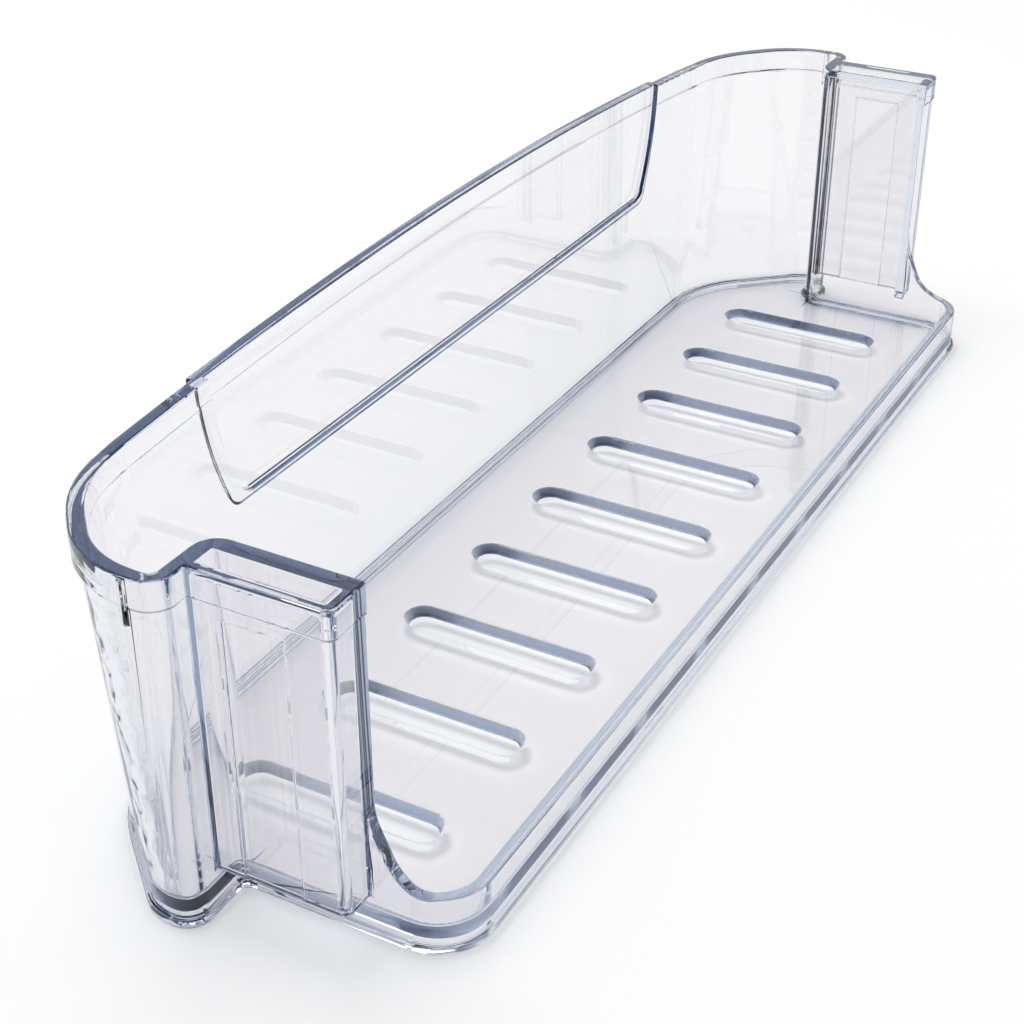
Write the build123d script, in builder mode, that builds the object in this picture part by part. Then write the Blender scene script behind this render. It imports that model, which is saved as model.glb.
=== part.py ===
from build123d import *
import os

# Clear door shelf for a refrigerator, moulded in one piece.
# All sizes are in millimetres. +X runs along the shelf, -Y is the tall front
# towards the room, +Y is the low side towards the door, +Z is up.

# Overall sizes, measured over the plain walls.
shelf_length = 426.0
shelf_depth = 109.5
end_height = 98.0
crown_rise = 8.0
crown_length = 346.0
low_wall_height = 16.0

# Wall sections.
wall = 3.4
rim_band_height = 8.0
rim_band_step = 0.5
floor_thickness = 3.0
floor_fillet = 2.4
foot_height = 2.6
foot_width = 4.6
foot_flange = 1.2
foot_flange_height = 2.4

# Plan of the tray at the rim: each front corner is two bends, then a shoulder and a step inwards.
corner_run = 27.5
corner_depth = 25.5
front_bend_radius = 44.0
end_bend_radius = 33.0
shoulder_depth = 48.0
end_step = 19.8
shoulder_inside_radius = 2.6
step_inside_radius = 3.0
back_corner_inside_radius = 11.0

# Taper of the front corners: the same plan is cut further back at the foot.
foot_corner_run = 32.0
foot_corner_depth = 36.0
foot_end_bend_radius = 14.0

# Hanging pocket outside each stepped end, open underneath.
pocket_gap = 7.0
pocket_run = 34.5
pocket_wall = 3.0
pocket_roof = 3.0
pocket_lift = 12.0
pocket_corner_radius = 2.0

# Shallow guide channel down the outside of each pocket.
channel_width = 16.5
channel_depth = 0.7
channel_margin = 8.5
channel_headroom = 12.0

# Back edge of the tall ends, sloping down into the low wall.
edge_drop_height = 34.0
edge_drop_run = 8.0
edge_top_radius = 16.0
edge_foot_radius = 12.0

# Panel pressed outwards in the middle of the front, with bowed side edges.
panel_top_width = 274.0
panel_bottom_width = 252.0
panel_bottom_height = 59.0
panel_offset = 1.6
panel_step_width = 3.0
panel_corner_radius = 5.0

# Slots through the floor. The margin is from the inside of each stepped end to the last slot's middle.
slot_count = 9
slot_margin = 29.8
slot_length = 59.0
slot_width = 8.4
slot_edge_bevel = 1.9
slot_end_bow = 2.6
slot_row_depth = 56.5

# Short locating rib under the rim of each shoulder.
rib_width = 1.6
rib_height = 12.0
rib_proud = 0.8
rib_setback = 9.0
rib_top_gap = 0.8

# Derived levels and lines.
near = 0.01
over = 2.0 * wall
sides = (-1, 1)
floor_top = foot_height + floor_thickness
crown_height = end_height + crown_rise
band_bottom = end_height - rim_band_height
depth_shift = (panel_offset + rim_band_step - foot_flange) / 2
front_y = depth_shift - shelf_depth / 2
back_y = depth_shift + shelf_depth / 2
shoulder_y = front_y + shoulder_depth
end_x = shelf_length / 2
step_x = end_x - end_step
skirt_in_x = step_x + pocket_gap
skirt_x = skirt_in_x + pocket_wall
pocket_back_y = shoulder_y + pocket_run
edge_y = pocket_back_y + pocket_wall
slot_row_y = front_y + slot_row_depth
slot_pitch = 2 * (step_x - wall - slot_margin) / (slot_count - 1)
rib_face_x = end_x + rim_band_step + rib_proud
rib_x = (rib_face_x + end_x - wall / 2) / 2


def corners_at(sketch, x, y):
    """Corners of a sketch at this place and at its mirror image."""
    return [v for v in sketch.vertices() if abs(abs(v.X) - x) < near and abs(v.Y - y) < near]



def tray_outline(height):
    """Plan of the outer wall face at a height between the foot and the crown."""
    cut_back = (crown_height - height) / (crown_height - foot_height)
    run = corner_run + cut_back * (foot_corner_run - corner_run)
    depth = corner_depth + cut_back * (foot_corner_depth - corner_depth)
    bend = end_bend_radius + cut_back * (foot_end_bend_radius - end_bend_radius)
    with BuildSketch(Plane.XY.offset(height)) as outline:
        with BuildLine():
            Polyline(
                (0, front_y),
                (end_x - run, front_y),
                (end_x, front_y + depth),
                (end_x, shoulder_y),
                (step_x, shoulder_y),
                (step_x, back_y),
                (0, back_y),
            )
            mirror(about=Plane.YZ)
        make_face()
        fillet(corners_at(outline, end_x - run, front_y), front_bend_radius)
        fillet(corners_at(outline, end_x, front_y + depth), bend)
        fillet(corners_at(outline, end_x, shoulder_y), shoulder_inside_radius + wall)
        fillet(corners_at(outline, step_x, shoulder_y), step_inside_radius)
        fillet(corners_at(outline, step_x, back_y), back_corner_inside_radius + wall)
    return outline.sketch


def grown(sketch, amount):
    """The same plan moved outwards, or inwards for a negative amount, with true corners."""
    return offset(sketch, amount=amount, kind=Kind.INTERSECTION)


rim_plan = tray_outline(crown_height)
foot_plan = tray_outline(foot_height)
inner_rim_plan = grown(rim_plan, -wall)
inner_floor_plan = grown(tray_outline(floor_top), -wall)
flange_plan = grown(foot_plan, foot_flange)
foot_inner_plan = grown(foot_plan, foot_flange - foot_width)

# Plan of the two pockets, reaching into the wall they hang from.
pocket_in_x = step_x - wall / 3
pocket_in_y = shoulder_y - wall / 3
with BuildSketch() as pocket_plan:
    with Locations(*[(s * (pocket_in_x + skirt_x) / 2, (pocket_in_y + edge_y) / 2) for s in sides]):
        Rectangle(skirt_x - pocket_in_x, edge_y - pocket_in_y)
    fillet(corners_at(pocket_plan, skirt_x, edge_y), pocket_corner_radius)

# Space above the rim seen from the front: flat at the ends and crowned in the middle.
with BuildSketch(Plane.XZ) as above_rim:
    with BuildLine():
        crown = ThreePointArc(
            (-crown_length / 2, end_height),
            (0, crown_height),
            (crown_length / 2, end_height),
        )
        Polyline(
            crown @ 1,
            (end_x + over, end_height),
            (end_x + over, crown_height + over),
            (-end_x - over, crown_height + over),
            (-end_x - over, end_height),
            crown @ 0,
        )
    make_face()

# Space under the rim band across the crowned front.
with BuildSketch(Plane.XZ) as below_band:
    with BuildLine():
        low_arc = ThreePointArc(
            (-crown_length / 2, band_bottom),
            (0, band_bottom + crown_rise),
            (crown_length / 2, band_bottom),
        )
        Line(low_arc @ 1, low_arc @ 0)
    make_face()

# Space behind the tall ends, seen along the shelf. Its own axes are Y and Z of the shelf.
with BuildSketch(Plane.YZ) as behind_edge:
    with BuildLine():
        Polyline(
            (edge_y, crown_height + over),
            (edge_y, edge_drop_height),
            (edge_y + edge_drop_run, low_wall_height),
            (back_y + over, low_wall_height),
            (back_y + over, crown_height + over),
            close=True,
        )
    make_face()
    fillet(corners_at(behind_edge, edge_y, edge_drop_height), edge_top_radius)
    fillet(corners_at(behind_edge, edge_y + edge_drop_run, low_wall_height), edge_foot_radius)


def panel_outline(plane, inset):
    """Face of the front panel on a plane, drawn in by an inset on its three closed sides."""
    top_x = panel_top_width / 2 - inset
    low_x = panel_bottom_width / 2 - inset
    low_z = panel_bottom_height + inset
    with BuildSketch(plane) as outline:
        with BuildLine():
            left = TangentArc((-top_x, crown_height), (-low_x, low_z), tangent=(0, -1))
            right = TangentArc((top_x, crown_height), (low_x, low_z), tangent=(0, -1))
            Line(left @ 1, right @ 1)
            Line(left @ 0, right @ 0)
        make_face()
        fillet(corners_at(outline, low_x, low_z), panel_corner_radius)
    return outline.sketch


panel_face = panel_outline(Plane.XZ.offset(-front_y), 0)
panel_hollow = panel_outline(Plane.XZ.offset(-front_y - wall), panel_step_width)

# Rim band round the tall walls and the pockets, following the crowned edge.
with BuildPart() as rim_band:
    with BuildSketch(Plane.XY.offset(band_bottom)):
        add(Pos(0, 0, -crown_height) * rim_plan)
        add(pocket_plan.sketch)
        offset(amount=rim_band_step, kind=Kind.INTERSECTION, mode=Mode.REPLACE)
        add(Pos(0, 0, -crown_height) * inner_rim_plan, mode=Mode.SUBTRACT)
    extrude(amount=crown_height - band_bottom)
    with BuildSketch(Plane.XY.offset(band_bottom)):
        with Locations((0, (edge_y + rim_band_step + back_y + over) / 2)):
            Rectangle(2 * (end_x + over), back_y + over - edge_y - rim_band_step)
    extrude(amount=crown_height - band_bottom, mode=Mode.SUBTRACT)
    extrude(above_rim.sketch, amount=shelf_depth, both=True, mode=Mode.SUBTRACT)
    extrude(below_band.sketch, amount=shelf_depth, both=True, mode=Mode.SUBTRACT)

# The same band in front of the panel.
with BuildPart() as panel_band:
    extrude(panel_face, amount=panel_offset + rim_band_step)
    split(bisect_by=Plane.XY.offset(band_bottom), keep=Keep.TOP)
    extrude(above_rim.sketch, amount=shelf_depth, both=True, mode=Mode.SUBTRACT)
    extrude(below_band.sketch, amount=shelf_depth, both=True, mode=Mode.SUBTRACT)

# Space inside the tray, rounded along the floor.
with BuildPart() as tray_space:
    loft([inner_floor_plan.face(), inner_rim_plan.face()], ruled=True)
    fillet(tray_space.edges().group_by(Axis.Z)[0], floor_fillet)

with BuildPart() as door_shelf:
    # Floor and walls, to the height of the crown.
    loft([foot_plan.face(), rim_plan.face()], ruled=True)
    add(tray_space.part, mode=Mode.SUBTRACT)

    # Middle panel of the front.
    extrude(panel_face, amount=panel_offset)

    # Ends cut down behind the pockets.
    extrude(behind_edge.sketch, amount=end_x + over, both=True, mode=Mode.SUBTRACT)

    # Pocket blocks.
    with BuildSketch(Plane.XY.offset(pocket_lift)):
        add(pocket_plan.sketch)
    extrude(amount=end_height - pocket_lift)

    # Rim band, then the hollow behind the panel that keeps its wall even.
    add(rim_band.part)
    add(panel_band.part)
    extrude(panel_hollow, amount=panel_offset, mode=Mode.SUBTRACT)

    # Guide channel down the outside of each pocket.
    with BuildSketch(Plane.XY.offset(pocket_lift)):
        with Locations(*[(s * skirt_x, shoulder_y + channel_margin + channel_width / 2) for s in sides]):
            Rectangle(2 * channel_depth, channel_width)
    extrude(amount=end_height - channel_headroom - pocket_lift, mode=Mode.SUBTRACT)

    # Locating rib on each shoulder.
    with BuildSketch(Plane.XY.offset(end_height - rib_top_gap - rib_height)):
        with Locations(*[(s * rib_x, shoulder_y - rib_setback) for s in sides]):
            Rectangle(2 * (rib_face_x - rib_x), rib_width)
    extrude(amount=rib_height)

    # Hollow of each pocket, open underneath.
    with BuildSketch(Plane.XY.offset(foot_height)):
        with Locations(*[(s * (step_x + skirt_in_x) / 2, (shoulder_y + pocket_back_y) / 2) for s in sides]):
            Rectangle(pocket_gap, pocket_run)
    extrude(amount=end_height - pocket_roof - foot_height, mode=Mode.SUBTRACT)

    # Crowned rim.
    extrude(above_rim.sketch, amount=shelf_depth, both=True, mode=Mode.SUBTRACT)

    # Foot ring, then the small flange around it.
    for outer_plan, top in ((foot_plan, foot_height), (flange_plan, foot_flange_height)):
        with BuildSketch():
            add(Pos(0, 0, -foot_height) * outer_plan)
            add(Pos(0, 0, -foot_height) * foot_inner_plan, mode=Mode.SUBTRACT)
        extrude(amount=top)

    # Slots, shorter towards the ends of the shelf.
    with BuildSketch(Plane.XY.offset(foot_height)):
        for i in range(slot_count):
            away = 2 * i / (slot_count - 1) - 1
            shorter = slot_end_bow * away ** 2
            with Locations(((i - (slot_count - 1) / 2) * slot_pitch, slot_row_y - shorter / 2)):
                SlotOverall(slot_length - shorter, slot_width, rotation=90)
    extrude(amount=floor_thickness, mode=Mode.SUBTRACT)

    # Bevelled upper edge of every slot.
    level_faces = door_shelf.faces().filter_by(Axis.Z)
    at_floor = level_faces.filter_by_position(Axis.Z, floor_top - near, floor_top + near)
    floor_face = at_floor.sort_by(SortBy.AREA)[-1]
    chamfer(floor_face.inner_wires().edges(), slot_edge_bevel)

door_shelf.part.label = "door_shelf"
os.makedirs("parts", exist_ok=True)
export_step(door_shelf.part, "parts/door_shelf.step")
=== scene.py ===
# %% [markdown]
# # A clear fridge door shelf
#
# The shelf is one injection-moulded piece of clear plastic. Its shape comes whole from the CAD model, so
# this lesson adds no new piece. It softens the moulded edges, makes the plastic, and sets up a small white
# studio with a camera that looks at the shelf as the photograph does. Lengths are in metres.

# %% Load the shelf
import math
import bpy
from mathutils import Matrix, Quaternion, Vector


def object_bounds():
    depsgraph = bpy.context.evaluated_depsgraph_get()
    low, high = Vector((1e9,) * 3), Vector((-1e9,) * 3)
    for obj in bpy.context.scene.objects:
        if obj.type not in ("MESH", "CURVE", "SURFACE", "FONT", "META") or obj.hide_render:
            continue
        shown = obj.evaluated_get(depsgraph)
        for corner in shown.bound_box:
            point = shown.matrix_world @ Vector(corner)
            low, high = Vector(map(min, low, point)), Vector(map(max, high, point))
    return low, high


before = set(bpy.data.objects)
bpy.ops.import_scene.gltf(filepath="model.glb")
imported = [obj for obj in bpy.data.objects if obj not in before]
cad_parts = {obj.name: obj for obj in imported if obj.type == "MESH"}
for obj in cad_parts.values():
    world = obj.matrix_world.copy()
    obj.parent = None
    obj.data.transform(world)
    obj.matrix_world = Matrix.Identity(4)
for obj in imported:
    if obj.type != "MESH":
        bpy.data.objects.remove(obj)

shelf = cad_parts["door_shelf"]
cad_low, cad_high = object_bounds()
print("shelf box in metres:", [round(v, 4) for v in cad_low], [round(v, 4) for v in cad_high])

# %% [markdown]
# ## Moulded edges
#
# No edge of a moulding is knife sharp: the tool is polished and every edge keeps a small radius. On clear
# plastic that radius is what draws the bright and dark lines along the rim. The loaded mesh is made of
# loose triangles, so a Weld modifier joins them first, and a Bevel modifier then rounds each edge that is
# sharper than a limit. A Weighted Normal modifier keeps the large faces flat up to the new radius. All
# three are live modifiers, so the CAD mesh itself stays as it is. The radius isn't clamped, so at steps
# thinner than itself it overruns a little.

# %% Round the edges
edge_radius = 0.0006
weld_distance = 0.000002
sharp_angle = math.radians(38)

weld = shelf.modifiers.new("join the triangles", "WELD")
weld.merge_threshold = weld_distance
soften = shelf.modifiers.new("moulded edge radius", "BEVEL")
soften.width = edge_radius
soften.segments = 2
soften.limit_method = "ANGLE"
soften.angle_limit = sharp_angle
soften.use_clamp_overlap = False
soften.harden_normals = True
soften.loop_slide = False
even = shelf.modifiers.new("even shading", "WEIGHTED_NORMAL")
even.weight = 100
even.keep_sharp = True
evaluated = shelf.evaluated_get(bpy.context.evaluated_depsgraph_get())
rounded = evaluated.to_mesh()
rounded.calc_loop_triangles()
print("triangles with rounded edges:", len(rounded.loop_triangles))
evaluated.to_mesh_clear()

# %% [markdown]
# ## Clear plastic
#
# Clear polystyrene bends light strongly, and it is faintly blue through its thickness. A thin wall looks
# almost white, and a rim seen along the wall looks steel blue, because the light has come through many
# centimetres of plastic. So the blue isn't painted on the surface: it is absorption inside the volume. The
# surface itself has only a trace of warmth.

# %% Make the plastic
surface_colour = (1.0, 0.98, 0.972, 1.0)
polystyrene_ior = 1.59
tint_colour = (0.02, 0.24, 0.52, 1.0)
tint_density = 22.0

plastic = bpy.data.materials.new("clear_polystyrene")
plastic.use_nodes = True
clear = plastic.node_tree
surface = clear.nodes["Principled BSDF"]
output = clear.nodes["Material Output"]
surface.inputs["Base Color"].default_value = surface_colour
surface.inputs["Transmission Weight"].default_value = 1.0
surface.inputs["IOR"].default_value = polystyrene_ior

tint = clear.nodes.new("ShaderNodeVolumeAbsorption")
tint.inputs["Color"].default_value = tint_colour
tint.inputs["Density"].default_value = tint_density
clear.links.new(tint.outputs["Volume"], output.inputs["Volume"])
shelf.material_slots[0].material = plastic
print("plastic on:", [slot.material.name for slot in shelf.material_slots])

# %% [markdown]
# ## Matt underside
#
# The floor of the shelf is polished on top. Its underside is given a slightly matt finish, which the
# photograph doesn't show. It lets light out of the floor, so the walls of the slots stay pale. A face
# belongs to the underside if it lies in the middle of the shelf, where there is nothing but the floor,
# and looks straight down.

# %% Matt the underside
matt_roughness = 0.22
floor_half_length, floor_half_depth = 0.178, 0.045
looks_down = -0.9


def node_value(tree, operation, first, second):
    """Output of a Math node on an output and a second output or number."""
    node = tree.nodes.new("ShaderNodeMath")
    node.operation = operation
    tree.links.new(first, node.inputs[0])
    if isinstance(second, float):
        node.inputs[1].default_value = second
    else:
        tree.links.new(second, node.inputs[1])
    return node.outputs["Value"]


def axes_of(tree, vector):
    """Outputs for the three axes of a vector."""
    parts = tree.nodes.new("ShaderNodeSeparateXYZ")
    tree.links.new(vector, parts.inputs["Vector"])
    return parts.outputs


place = clear.nodes.new("ShaderNodeTexCoord")
facing = clear.nodes.new("ShaderNodeNewGeometry")
spot = axes_of(clear, place.outputs["Object"])
along = node_value(clear, "COMPARE", spot["X"], 0.0)
across = node_value(clear, "COMPARE", spot["Y"], 0.0)
along.node.inputs[2].default_value = floor_half_length
across.node.inputs[2].default_value = floor_half_depth
facing_up = axes_of(clear, facing.outputs["True Normal"])["Z"]
under = node_value(clear, "LESS_THAN", facing_up, looks_down)
middle = node_value(clear, "MULTIPLY", along, across)
matt = node_value(clear, "MULTIPLY", middle, under)
roughness = node_value(clear, "MULTIPLY", matt, matt_roughness)
clear.links.new(roughness, surface.inputs["Roughness"])
print("nodes in the plastic:", len(clear.nodes))

# %% [markdown]
# ## Slow waves
#
# The faces of a moulding are never quite flat. A slow noise, a few centimetres from crest to crest, tilts
# the surface a little and bends what is seen through the wall.

# %% Add the waves
waves_per_metre = 22.0
wave_strength = 0.10
wave_height = 0.0006

waves = clear.nodes.new("ShaderNodeTexNoise")
waves.name = "slow waves of the moulding"
waves.inputs["Scale"].default_value = waves_per_metre
waves.inputs["Detail"].default_value = 0.0
clear.links.new(place.outputs["Object"], waves.inputs["Vector"])
ripple = clear.nodes.new("ShaderNodeBump")
ripple.inputs["Strength"].default_value = wave_strength
ripple.inputs["Distance"].default_value = wave_height
clear.links.new(waves.outputs["Fac"], ripple.inputs["Height"])
clear.links.new(ripple.outputs["Normal"], surface.inputs["Normal"])
print("wave length in mm: about", round(1000 / waves_per_metre))

# %% [markdown]
# ## Floor
#
# The shelf stands on a white table that runs out of the picture on every side. The floor lies a hair below
# the foot ring, so that the two faces don't fall together.

# %% Lay the floor
table_size = 30.0
table_gap = 0.0002
paper_colour = (0.95, 0.95, 0.95, 1.0)

bpy.ops.object.select_all(action="DESELECT")
bpy.ops.mesh.primitive_plane_add(size=table_size, location=(0.0, 0.0, cad_low[2] - table_gap))
floor = bpy.context.object
floor.name = "floor"
paper = bpy.data.materials.new("white_paper")
paper.use_nodes = True
sheet_face = paper.node_tree.nodes["Principled BSDF"]
sheet_face.inputs["Base Color"].default_value = paper_colour
sheet_face.inputs["Roughness"].default_value = 1.0
sheet_face.inputs["Specular IOR Level"].default_value = 0.0
floor.data.materials.append(paper)
print("floor at height", round(floor.location.z, 5))

# %% [markdown]
# ## Studio
#
# Clear things are photographed in front of a bright wall, with darker surroundings above, beside and
# behind the camera: each edge then bends a little of the dark into view and is drawn as a line. So the
# painted studio is white on the side that lies behind the shelf and turns to a deep blue towards the
# ceiling and towards the camera's side.

# %% Paint the studio
white = (1.0, 1.0, 1.0, 1.0)
deep_blue = (0.08, 0.11, 0.18, 1.0)
ceiling_start, ceiling_full = 0.56, 0.86
bright_wall = (-0.876, -0.482, 0.0)
room_start, room_full = 0.3, -0.2
sky_strength = 0.87

world = bpy.data.worlds.new("studio")
bpy.context.scene.world = world
world.use_nodes = True
studio = world.node_tree


def darkness(name, value, start, full):
    """Output that rises smoothly from 0 at one value to 1 at another."""
    node = studio.nodes.new("ShaderNodeMapRange")
    node.name = name
    node.interpolation_type = "SMOOTHSTEP"
    node.inputs["From Min"].default_value = start
    node.inputs["From Max"].default_value = full
    studio.links.new(value, node.inputs["Value"])
    return node.outputs["Result"]


direction = studio.nodes.new("ShaderNodeTexCoord").outputs["Generated"]
upward = axes_of(studio, direction)["Z"]
ceiling = darkness("dark ceiling", upward, ceiling_start, ceiling_full)
towards_wall = studio.nodes.new("ShaderNodeVectorMath")
towards_wall.operation = "DOT_PRODUCT"
towards_wall.inputs[1].default_value = bright_wall
studio.links.new(direction, towards_wall.inputs[0])
wallward = towards_wall.outputs["Value"]
room = darkness("dark room beside and behind the camera", wallward, room_start, room_full)

paint = studio.nodes.new("ShaderNodeValToRGB")
paint.name = "white wall and blue dark"
white_end, blue_end = paint.color_ramp.elements
white_end.color = white
blue_end.color = deep_blue
studio.links.new(node_value(studio, "MAXIMUM", ceiling, room), paint.inputs["Fac"])
seen = studio.nodes.new("ShaderNodeBackground")
studio.links.new(paint.outputs["Color"], seen.inputs["Color"])
sky = studio.nodes["Background"]
sky.inputs["Color"].default_value = white
sky.inputs["Strength"].default_value = sky_strength
print("ceiling darkens from", round(math.degrees(math.asin(ceiling_start))), "degrees up")

# %% [markdown]
# ## What is seen and what gives light
#
# The painted studio is only for looking at: straight, in a reflection or through the plastic. Light that
# falls on the floor comes from an even white sky instead, so the dark ceiling doesn't make the table grey.
# A ray knows how it got here, and the Light Path node tells which of the two it should meet.

# %% Part the two
first_matt_bounce = 0.5

path = studio.nodes.new("ShaderNodeLightPath").outputs
either = node_value(studio, "MAXIMUM", path["Is Camera Ray"], path["Is Glossy Ray"])
looks = node_value(studio, "MAXIMUM", either, path["Is Transmission Ray"])
direct = node_value(studio, "LESS_THAN", path["Diffuse Depth"], first_matt_bounce)
mix = studio.nodes.new("ShaderNodeMixShader")
studio.links.new(node_value(studio, "MULTIPLY", looks, direct), mix.inputs["Fac"])
studio.links.new(sky.outputs["Background"], mix.inputs[1])
studio.links.new(seen.outputs["Background"], mix.inputs[2])
studio.links.new(mix.outputs["Shader"], studio.nodes["World Output"].inputs["Surface"])
print("studio nodes:", len(studio.nodes))

# %% [markdown]
# ## Lamp
#
# One wide, soft lamp stands above the tall front, so the shadow falls under the low side. Its own mirror
# image would lie as a bright patch on the floor of the shelf, so reflections don't show it.

# %% Hang the lamp
lamp_place = (-0.15, -0.45, 1.40)
lamp_target = Vector((0.0, 0.0, 0.03))
lamp_length, lamp_width = 0.9, 0.7
lamp_watts = 5.0

bpy.ops.object.light_add(type="AREA", location=lamp_place)
lamp = bpy.context.object
lamp.name = "soft_lamp"
lamp.data.shape = "RECTANGLE"
lamp.data.size = lamp_length
lamp.data.size_y = lamp_width
lamp.data.energy = lamp_watts
lamp.visible_glossy = False
lamp.rotation_mode = "QUATERNION"
lamp.rotation_quaternion = (lamp_target - lamp.location).to_track_quat("-Z", "Y")
print("lamp", lamp.data.energy, "watts")

# %% [markdown]
# ## Camera
#
# The camera's place, direction and lens were fitted to the outline of the shelf and to its nine slots.

# %% Set the camera
photo_width = 1024
focal_pixels = 1841.38
sensor_width = 36.0
nearest_seen = 0.01
camera_place = (0.46118, 0.21600, 0.30984)
azimuth, elevation, roll = math.radians(118.798), math.radians(30.842), math.radians(-0.062)

back = Vector((
    math.sin(azimuth) * math.cos(elevation),
    -math.cos(azimuth) * math.cos(elevation),
    math.sin(elevation),
))
bpy.ops.object.camera_add(location=camera_place)
camera = bpy.context.object
camera.name = "photo_camera"
camera.data.sensor_width = sensor_width
camera.data.lens = focal_pixels / photo_width * sensor_width
camera.rotation_mode = "QUATERNION"
camera.rotation_quaternion = (-back).to_track_quat("-Z", "Y") @ Quaternion((0.0, 0.0, 1.0), roll)
camera.data.clip_start = nearest_seen
bpy.context.scene.camera = camera
bpy.context.scene.view_settings.view_transform = "Standard"
print("lens in mm:", round(camera.data.lens, 2))

# %% [markdown]
# ## Long light paths
#
# Light in a clear rim is thrown from side to side many times before it comes out. With the usual few
# bounces it would be cut off and the rims and the floor would turn black. The filter that blurs such paths
# is switched off as well, since it takes light away from under the clear floor.

# %% Let light travel far
most_bounces = 128
most_passes_through = 32

paths = bpy.context.scene.cycles
paths.blur_glossy = 0.0
paths.max_bounces = most_bounces
paths.glossy_bounces = most_bounces
paths.transmission_bounces = most_passes_through
print("bounces at most:", paths.max_bounces)
